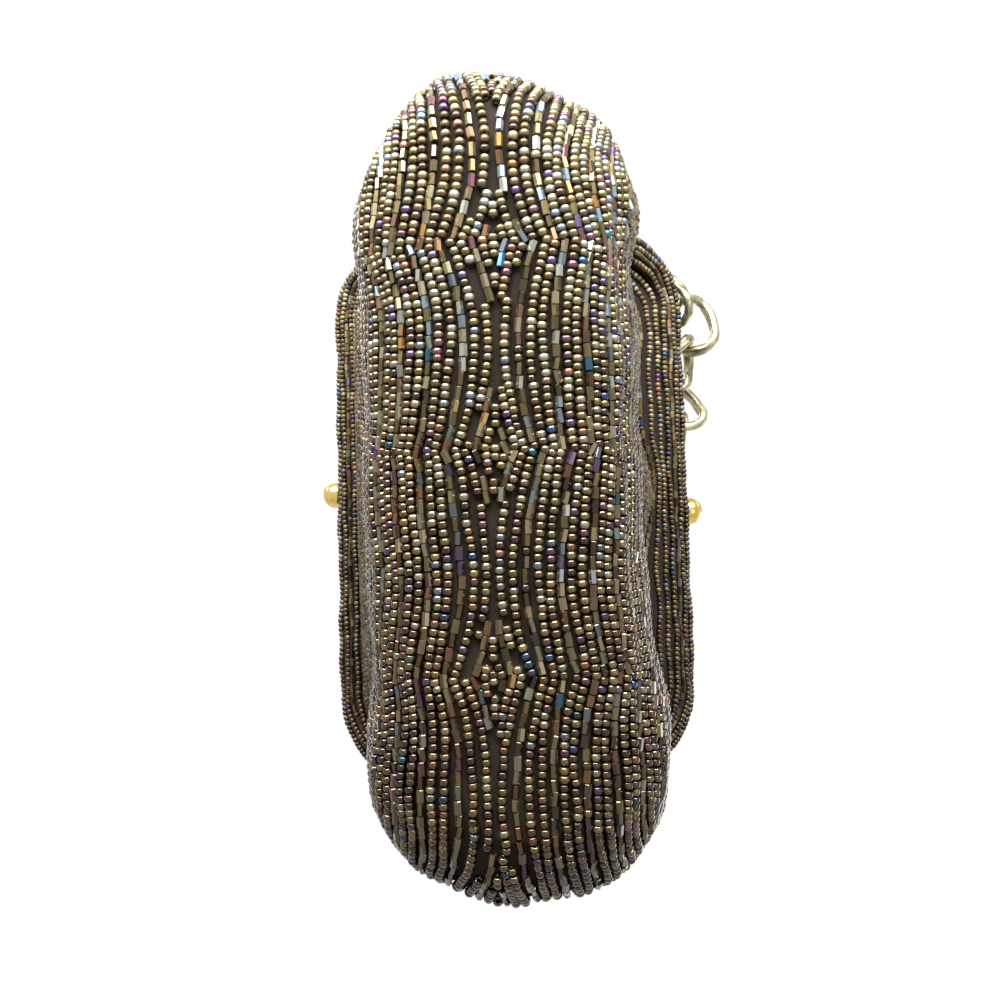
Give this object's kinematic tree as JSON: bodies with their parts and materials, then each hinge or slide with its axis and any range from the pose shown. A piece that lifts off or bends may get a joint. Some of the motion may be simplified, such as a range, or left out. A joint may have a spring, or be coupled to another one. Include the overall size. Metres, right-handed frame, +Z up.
{
  "type": "kiss lock frame purse",
  "caption": "Beaded kiss lock frame purse, standing open, with two ball clasps and a curb chain handle.",
  "frame": {"origin": "middle of the flattened bottom, on the ground", "axes": "+X along the bag's length, +Z up to the mouth; -Y is the front, where the chain hangs over the bar"},
  "size_m": [0.1661, 0.1204, 0.1147],
  "materials": {
    "beaded_fabric": "glass beads in dark iridescent bronze and pale gold sewn on dark cloth",
    "cotton": "plain woven",
    "board": "pressed card board, matt",
    "satin_lining": "satin weave, soft sheen",
    "chain_metal": "pale gold plate with dark recesses",
    "gold_metal": "polished",
    "frame_metal": "satin plated"
  },
  "bodies": {
    "bag_body": {"shell_front": "beaded_fabric", "shell_back": "beaded_fabric", "interlining_front": "cotton", "interlining_back": "cotton", "base_board": "board", "pouch_front": "satin_lining", "pouch_back": "satin_lining", "inner_pocket": "satin_lining", "rivet_left": "frame_metal", "rivet_right": "frame_metal", "chain_tab_left": "frame_metal", "chain_tab_right": "frame_metal", "end_ring_left": "chain_metal", "end_ring_right": "chain_metal", "chain_inside": "chain_metal"},
    "back_half": {"back_rail": "frame_metal", "back_stem": "gold_metal", "back_ball": "gold_metal", "back_cover": "beaded_fabric", "back_cord": "cotton", "back_panel": "beaded_fabric", "back_lining": "satin_lining"},
    "front_half": {"front_rail": "frame_metal", "front_stem": "gold_metal", "front_ball": "gold_metal", "front_cover": "beaded_fabric", "front_cord": "cotton", "front_panel": "beaded_fabric", "front_lining": "satin_lining", "chain_over_bar": "chain_metal"}
  },
  "joints": [
    {"name": "back_half_swing", "type": "hinge", "parent": "bag_body", "child": "back_half", "pos_m": [0, 0, 0.067], "axis": [1, 0, 0], "range_deg": [0, 52], "deforming": ["chain_inside", "end_ring_left", "end_ring_right"]},
    {"name": "front_half_swing", "type": "hinge", "parent": "bag_body", "child": "front_half", "pos_m": [0, 0, 0.067], "axis": [-1, 0, 0], "range_deg": [0, 52], "deforming": ["chain_over_bar"]}
  ],
  "couplings": [
    {"joint": "front_half_swing", "follows": "back_half_swing", "ratio": 1}
  ]
}
